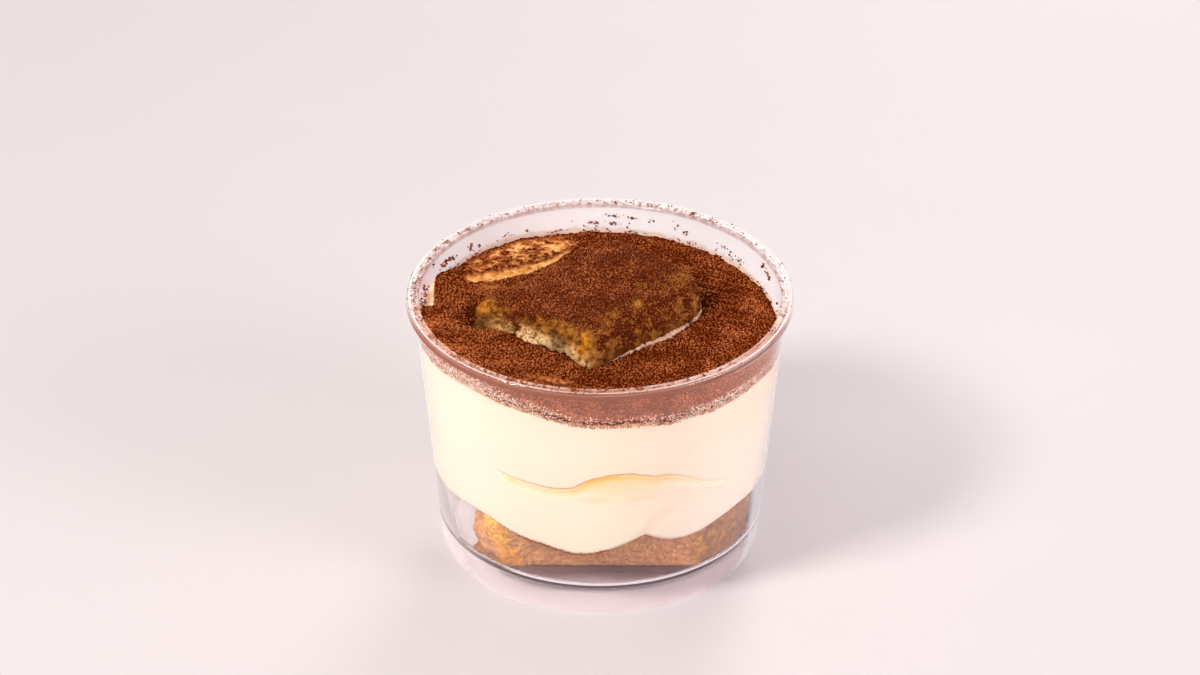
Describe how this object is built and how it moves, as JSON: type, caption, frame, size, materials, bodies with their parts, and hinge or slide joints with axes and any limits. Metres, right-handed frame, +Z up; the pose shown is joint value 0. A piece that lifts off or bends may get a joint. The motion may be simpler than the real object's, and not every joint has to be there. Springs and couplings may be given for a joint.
{
  "type": "tiramisu in a clear cup",
  "caption": "Layered dessert in a clear tapered cup: soaked sponge at the bottom, cream, a cocoa skin and a broken sponge finger on top.",
  "frame": {"origin": "middle of the cup's foot ring, on the surface it stands on", "axes": "+Z up the cup's axis, -Y towards the side where the cream hangs lowest in front of the sponge, +X to the right seen from there"},
  "size_m": [0.095, 0.095, 0.068],
  "materials": {
    "clear_plastic": "clear, polished, faintly dusted with cocoa near the rim",
    "soaked_sponge": "open moist crumb",
    "cream": "smooth and soft",
    "cocoa": "dry clumping powder",
    "sponge_crust": "baked crust and open crumb under cocoa"
  },
  "bodies": {
    "root": {"cup": "clear_plastic", "ladyfinger_base": "soaked_sponge", "cream": "cream", "cocoa_layer": "cocoa", "ladyfinger_top": "sponge_crust"}
  },
  "joints": []
}
